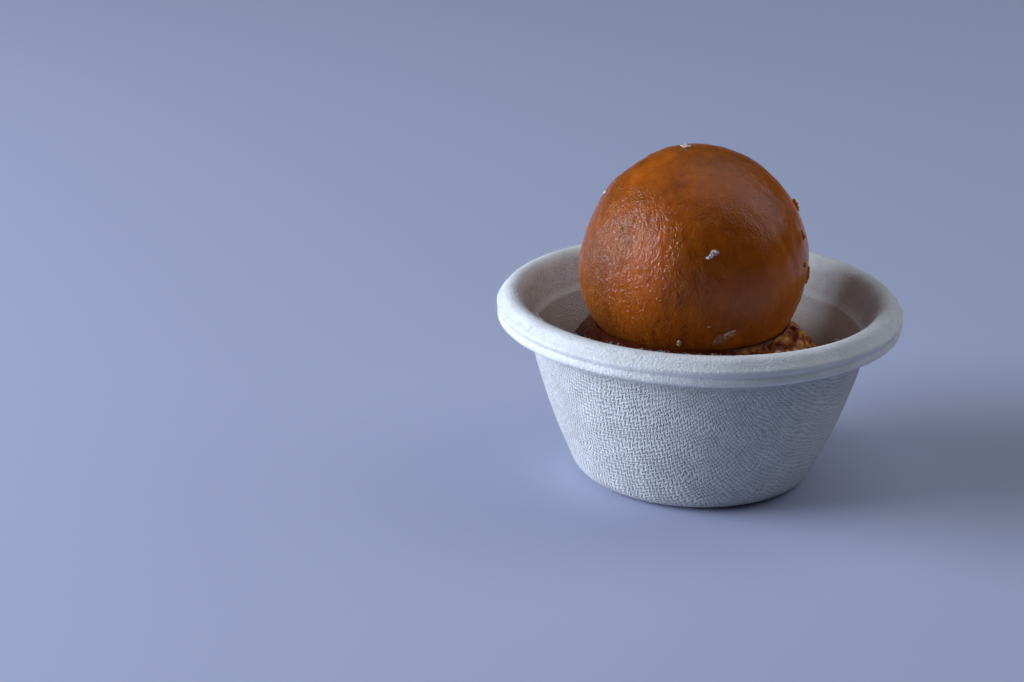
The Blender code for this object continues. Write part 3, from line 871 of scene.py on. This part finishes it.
# The smear is four thin lumps that run into each other.
MILK_SMEAR = (
    (-80.0, -27.2, 0.00090, 0.00060, 0.00011, 35.0),
    (-77.8, -25.6, 0.00120, 0.00085, 0.00012, 38.0),
    (-75.2, -23.9, 0.00120, 0.00085, 0.00013, 36.0),
    (-72.9, -22.2, 0.00090, 0.00065, 0.00012, 25.0),
)
LUMP_SINK = 0.00005  # how deep the middle of a lump lies in the skin
LUMP_GRID = 8  # squares along each side of a lump's six patches
SMEAR_GRID = 12  # the same in the smear


def lumps(pieces, squares, roughness, seed):
    """One mesh of many small lumps on the whole ball. Each is a ball stretched to its half sizes,
    turned in the skin's plane and dented by a soft random field, roughness times its size."""
    way, faces = six_patches(squares)
    points, all_faces = [], []
    for number, (azimuth, elevation, length, width, thickness, turn) in enumerate(pieces):
        out = heading(azimuth, elevation)
        east = heading(azimuth + 90, 0.0)
        north = np.cross(out, east)
        t = math.radians(turn)
        lengthwise = east * math.cos(t) + north * math.sin(t)
        crosswise = north * math.cos(t) - east * math.sin(t)
        shape = way * (1 + roughness * rolling(way, 1.1, seed + number))[:, None]
        place = BALL_CENTRE + out * (ball_radius(out) - LUMP_SINK)
        points.append(place + (shape * (length, width, thickness)) @ np.stack([lengthwise, crosswise, out]))
        all_faces += (faces + number * len(way)).tolist()
    return np.concatenate(points), all_faces


def milk_finish(name, soaked, dry):
    """Dried milk: patches of a soaked and of a dry colour, a little see-through, with fine relief. It
    is soaked where the piece's own attribute says that it is thin."""
    material, tree, shader = new_finish(
        name,
        {"Roughness": 0.5, "Subsurface Weight": 0.4, "Subsurface Scale": 0.0006, "Coat Weight": 0.4},
    )
    place = add_node(tree, "ShaderNodeTexCoord").outputs["Object"]
    clouds = add_node(tree, "ShaderNodeTexNoise", {"Vector": place, "Scale": 1600.0, "Detail": 3.0})
    thick = add_node(tree, "ShaderNodeAttribute", attribute_name="thick").outputs["Fac"]
    dryness = chain(tree, "MULTIPLY_ADD", chain(tree, "SUBTRACT", thick, 1.0), 0.45, clouds.outputs[0])
    tint = add_node(tree, "ShaderNodeValToRGB", {"Fac": dryness})
    tint.color_ramp.elements[0].position = 0.35
    tint.color_ramp.elements[0].color = soaked
    tint.color_ramp.elements[1].position = 0.60
    tint.color_ramp.elements[1].color = dry
    tree.links.new(tint.outputs[0], shader.inputs["Base Color"])
    fine = add_node(tree, "ShaderNodeBump", {"Height": clouds.outputs[0], "Distance": 0.0002})
    tree.links.new(fine.outputs[0], shader.inputs["Normal"])
    return material


points, faces = lumps(MILK_FLECKS, LUMP_GRID, 0.22, 50)
dry_milk = milk_finish("dry_milk", (0.40, 0.24, 0.17, 1), (0.60, 0.49, 0.45, 1))
flecks = mesh_object("milk_flecks", points, faces, dry_milk)
mark(flecks, thick=np.ones(len(points)))
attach(flecks, "root")

points, faces = lumps(MILK_SMEAR, SMEAR_GRID, 0.17, 70)
soaked_milk = milk_finish("soaked_milk", (0.38, 0.105, 0.018, 1), (0.58, 0.34, 0.25, 1))
smear = mesh_object("milk_smear", points, faces, soaked_milk)
mark(smear, thick=np.tile(six_patches(SMEAR_GRID)[0][:, 2], len(MILK_SMEAR)))
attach(smear, "root")

# --- Skin crumbs ---
# Scraps of fried crust that came off another one in the pot and dried on with the syrup. Most cling
# to the ball's right side and stand out from it, and three flat ones lie on its left.

# Each: azimuth, elevation, half length, half width, half thickness, turn from level.
SKIN_CRUMBS = (
    (4.0, 30.6, 0.00060, 0.00045, 0.00055, 70.0),
    (2.0, 28.4, 0.00050, 0.00030, 0.00035, 30.0),
    (-17.2, 18.7, 0.00050, 0.00070, 0.00030, 10.0),
    (-21.4, 4.5, 0.00034, 0.00040, 0.00024, 0.0),
    (-7.8, -4.8, 0.00060, 0.00080, 0.00040, 0.0),
    (-10.0, -1.0, 0.00040, 0.00050, 0.00030, 20.0),
    (-6.0, -9.0, 0.00036, 0.00045, 0.00026, 0.0),
    (171.0, 12.0, 0.00030, 0.00040, 0.00020, 0.0),
    (-139.0, 26.0, 0.00040, 0.00030, 0.00014, 30.0),
    (-133.0, 31.0, 0.00030, 0.00022, 0.00012, 60.0),
)

points, faces = lumps(SKIN_CRUMBS, LUMP_GRID, 0.24, 80)
crumbs = mesh_object("skin_crumbs", points, faces, ball.data.materials[0])
mark(crumbs, pale=np.full(len(points), 0.08), wrinkled=np.ones(len(points)))
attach(crumbs, "root")

# --- Loose fibres ---
# Ends of plant fibre that stand up from the pulp along the rim. Most are on the crest and the lip, and
# the rest on the skirt and the beads.

LOOSE_FIBRES = 4500
FIBRE_THICKNESS = 0.000050
FIBRE_LENGTHS = (0.00040, 0.00120)
FIBRE_RISES = (0.20, 0.80)  # how steeply they leave the pulp
FIBRE_DROOP = 0.4  # how far they bend back down
FIBRE_TAPER = 0.6  # the share of the thickness that is gone at the end
FIBRE_ROOT = 0.00002  # how deep they start in it
FIBRE_RINGS = 4
# Where they stand, as shares of the rim's line: on the crest and lip, and from the skirt to the beads.
CREST_AND_LIP = (0.82, 0.98)
SKIRT_AND_BEADS = (0.30, 0.80)
CREST_AND_LIP_SHARE = 0.65  # of all of them


def fibre_tubes():
    """Thin three-sided tubes that taper off, four rings each. Each starts just inside the rim's
    surface, on its section's line. It goes along the surface by its length, and rises from it by
    rise * (along - droop * (1 - cos(along * 90 degrees))) times its length."""
    draw = np.random.default_rng(60)
    line = rim_line()
    lengths = np.concatenate([[0], np.hypot(*np.diff(line, axis=0).T).cumsum()])
    on_top = draw.random(LOOSE_FIBRES) < CREST_AND_LIP_SHARE
    top = draw.uniform(*CREST_AND_LIP, LOOSE_FIBRES)
    share = np.where(on_top, top, draw.uniform(*SKIRT_AND_BEADS, LOOSE_FIBRES))
    place = np.stack([np.interp(share * lengths[-1], lengths, side) for side in line.T], axis=1)
    ahead = np.stack([np.interp((share + 0.004) * lengths[-1], lengths, side) for side in line.T], axis=1)
    slope = ahead - place
    slope /= np.hypot(*slope.T)[:, None]
    normal = np.stack([slope[:, 1], -slope[:, 0]], axis=1)
    azimuth = draw.uniform(0, 2 * np.pi, LOOSE_FIBRES)
    ring = np.stack([np.cos(azimuth), np.sin(azimuth), np.zeros(LOOSE_FIBRES)], axis=1)
    up = np.array((0.0, 0.0, 1.0))
    start = place[:, :1] * ring + place[:, 1:] * up
    out = normal[:, :1] * ring + normal[:, 1:] * up
    lie = draw.normal(size=(LOOSE_FIBRES, 3))
    lie -= (lie * out).sum(axis=1)[:, None] * out
    lie /= np.linalg.norm(lie, axis=1)[:, None]
    length = draw.uniform(*FIBRE_LENGTHS, LOOSE_FIBRES)
    rise = draw.uniform(*FIBRE_RISES, LOOSE_FIBRES)
    along = np.linspace(0, 1, FIBRE_RINGS)[None, :, None]
    bend = 1 - np.cos(along * np.pi / 2)
    route = start[:, None] + length[:, None, None] * (
        along * lie[:, None] + rise[:, None, None] * (along - FIBRE_DROOP * bend) * out[:, None]
    )
    route -= FIBRE_ROOT * out[:, None]
    side = np.cross(lie, out)
    turn = np.radians((0, 120, 240))
    cross = np.cos(turn)[:, None] * side[:, None] + np.sin(turn)[:, None] * out[:, None]
    width = FIBRE_THICKNESS / 2 * (1 - FIBRE_TAPER * along)
    points = route[:, :, None] + width[..., None] * cross[:, None]
    foot = np.arange(LOOSE_FIBRES)[:, None] * FIBRE_RINGS * 3
    first = foot[:, None] + np.arange(FIBRE_RINGS - 1)[:, None] * 3
    here = first + np.arange(3)
    after = first + np.roll(np.arange(3), -1)
    sides = np.stack([here, after, after + 3, here + 3], axis=-1).reshape(-1, 4).tolist()
    tip = foot + (FIBRE_RINGS - 1) * 3
    caps = (foot + (2, 1, 0)).tolist() + (tip + (0, 1, 2)).tolist()
    return points.reshape(-1, 3), sides + caps


def fibre_end_finish():
    """Single fibres of the pulp: off-white, some of them a little darker, and thin enough to glow."""
    constants = {"Roughness": 0.7, "Subsurface Weight": 0.3, "Subsurface Scale": 0.0003}
    material, tree, shader = new_finish("fibre_ends", constants)
    place = add_node(tree, "ShaderNodeTexCoord").outputs["Object"]
    kinds = add_node(tree, "ShaderNodeTexNoise", {"Vector": place, "Scale": 700.0})
    tint = add_node(tree, "ShaderNodeValToRGB", {"Fac": kinds.outputs[0]})
    tint.color_ramp.elements[0].position = 0.35
    tint.color_ramp.elements[0].color = (0.66, 0.64, 0.60, 1)
    tint.color_ramp.elements[1].position = 0.60
    tint.color_ramp.elements[1].color = (0.84, 0.84, 0.83, 1)
    tree.links.new(tint.outputs[0], shader.inputs["Base Color"])
    return material


points, faces = fibre_tubes()
fibres = mesh_object("loose_fibres", points, faces, fibre_end_finish())
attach(fibres, "root")
